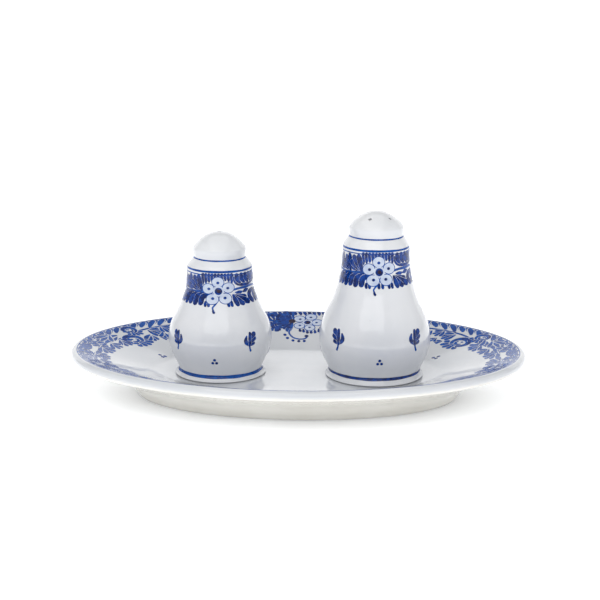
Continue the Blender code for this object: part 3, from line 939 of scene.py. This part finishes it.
def make_studio():
    """White surroundings, four softboxes, the paper on the table and the paper behind the set."""
    world = bpy.data.worlds.new("white_room")
    world.use_nodes = True
    world.node_tree.nodes["Background"].inputs["Color"].default_value = (1.0, 1.0, 1.0, 1.0)
    world.node_tree.nodes["Background"].inputs["Strength"].default_value = 0.47
    bpy.context.scene.world = world
    area_light("overhead", (-0.10, 0.00, 1.00), (0, 0, 0), (1.1, 1.0), 2.5)
    area_light("front_box", (-0.10, -0.95, 0.85), (0, 0, 0.03), (1.2, 0.9), 4.6)
    area_light("left_box", (-1.00, -0.35, 0.45), (0, 0, 0.03), (1.3, 1.3), 1.3)
    area_light("right_box", (1.00, -0.20, 0.45), (0, 0, 0.03), (1.3, 1.3), 1.5)

    nodes = paper("studio_paper", (0.88, 0.90, 0.93))
    nodes.shader.inputs["Roughness"].default_value = 0.8
    # its glow is painted light that fades towards the dish's foot, which paints a soft shadow round the dish; the
    # distances in FLOOR_GLOW are in half sizes of the foot's oval
    shares = nodes.add("ShaderNodeVectorMath", operation="MULTIPLY")
    shares.inputs[1].default_value = (1 / FOOT_HALF[0], 1 / FOOT_HALF[1], 0.0)
    nodes.link(nodes.place, shares.inputs[0])
    distance = nodes.add("ShaderNodeVectorMath", operation="LENGTH")
    nodes.link(shares.outputs["Vector"], distance.inputs[0])
    nodes.link(nodes.remap(distance.outputs["Value"], *FLOOR_GLOW), nodes.shader.inputs["Emission Strength"])
    side = STUDIO_FLOOR
    stage_sheet("studio_floor", [(-side, -side, 0.0), (side, -side, 0.0), (side, side, 0.0), (-side, side, 0.0)],
                nodes.material)

    nodes = paper("studio_backdrop", (0.95, 0.95, 0.95))
    nodes.link(nodes.remap(nodes.noise(900.0, 1.0), 0.3, 0.7, 0.26, 0.34), nodes.shader.inputs["Emission Strength"])
    stage_sheet("studio_backdrop", [(x, BACKDROP_DISTANCE, z) for x, z in ((-2.0, 0.0), (2.0, 0.0), (2.0, 1.2),
                                                                           (-2.0, 1.2))], nodes.material)


def make_camera():
    camera = bpy.data.cameras.new("camera")
    camera.lens = CAMERA_LENS
    camera.clip_end = 100.0
    obj = bpy.data.objects.new("camera", camera)
    obj.matrix_world = (Matrix.Translation(Vector(CAMERA_PLACE) * MM)
                        @ Matrix.Rotation(math.radians(CAMERA_AZIMUTH), 4, "Z")
                        @ Matrix.Rotation(math.radians(90.0 - CAMERA_PITCH), 4, "X")
                        @ Matrix.Rotation(math.radians(CAMERA_ROLL), 4, "Z"))
    bpy.context.scene.collection.objects.link(obj)
    bpy.context.scene.camera = obj


# ================================================================ putting it together
# Where a shaker's painting goes: angles in degrees from +X, heights above the foot. A line is its height, width,
# wobble and place in the paints; the band's radius is the one at which its flat drawing is true.
SALT_PLAN = {
    "lines": ((59.35, 0.65, 0.05, 0), (54.6, 1.0, 0.06, 0), (52.95, 0.6, 0.05, 0), (2.65, 1.6, 0.04, 0)),
    "band_stretch": 1.0, "fringe": False, "band_radius": 16.6, "flower_angle": -86.7, "flower_height": 45.1,
    "sprig_middle": -93.8, "sprig_spread": 43.0, "sprig_scale": 1.0, "sprig_height": 18.9,
    "dots_angle": -91.0, "dots_height": 11.4,
}
PEPPER_PLAN = {
    "lines": ((70.95, 0.65, 0.05, 0), (65.9, 1.0, 0.06, 0), (64.3, 0.55, 0.05, 0), (3.35, 1.5, 0.04, 1)),
    "band_stretch": 1.08, "fringe": True, "band_radius": 16.8, "flower_angle": -84.7, "flower_height": 55.75,
    "sprig_middle": -87.9, "sprig_spread": 42.0, "sprig_scale": 1.1, "sprig_height": 20.8,
    "dots_angle": -85.0, "dots_height": 13.0,
}


def main():
    bpy.context.scene.view_settings.view_transform = "Standard"
    shaker_glaze = glaze("white_tin_glaze", WHITE_GLAZE)
    dish_glaze = glaze("shaded_dish_tin_glaze", SHADED_DISH_GLAZE, IVORY_GLAZE)
    paints = [brushwork("cobalt_mid", COBALT_MID), brushwork("cobalt_dark", COBALT_DARK),
              brushwork("petal_wash", PETAL_WASH, 3.0), brushwork("manganese_heart", MANGANESE, 0.8)]
    cork = cork_material()

    oval_surface = Oval("oval_dish")
    salt_surface = Turned("salt_shaker", SALT_DOME, SALT_BODY, SALT_FOOT)
    pepper_surface = Turned("pepper_shaker", PEPPER_DOME, PEPPER_BODY, PEPPER_FOOT)
    pieces = [
        (make_dish(oval_surface, dish_glaze), "dish", "dish_glaze", "oval_dish"),
        (make_shaker("salt_body", salt_surface, SALT_HOLES, shaker_glaze), "salt", "shaker_glaze", "salt_shaker"),
        (make_shaker("pepper_body", pepper_surface, PEPPER_HOLES, shaker_glaze), "pepper", "shaker_glaze",
         "pepper_shaker"),
        (make_cork("salt_cork_bark", salt_surface, cork, 3), "salt_cork", "cork", "salt_stopper"),
        (make_cork("pepper_cork_bark", pepper_surface, cork, 8), "pepper_cork", "cork", "pepper_stopper"),
        (paint_dish(oval_surface, paints), "dish", "cobalt_painting", None),
        (paint_shaker("salt_painting", salt_surface, paints, SALT_PLAN), "salt", "cobalt_painting", None),
        (paint_shaker("pepper_painting", pepper_surface, paints, PEPPER_PLAN), "pepper", "cobalt_painting", None),
    ]
    for piece, body, slot, node in pieces:
        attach(piece, body)
        if node is not None:
            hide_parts(node)
    make_studio()
    make_camera()


main()
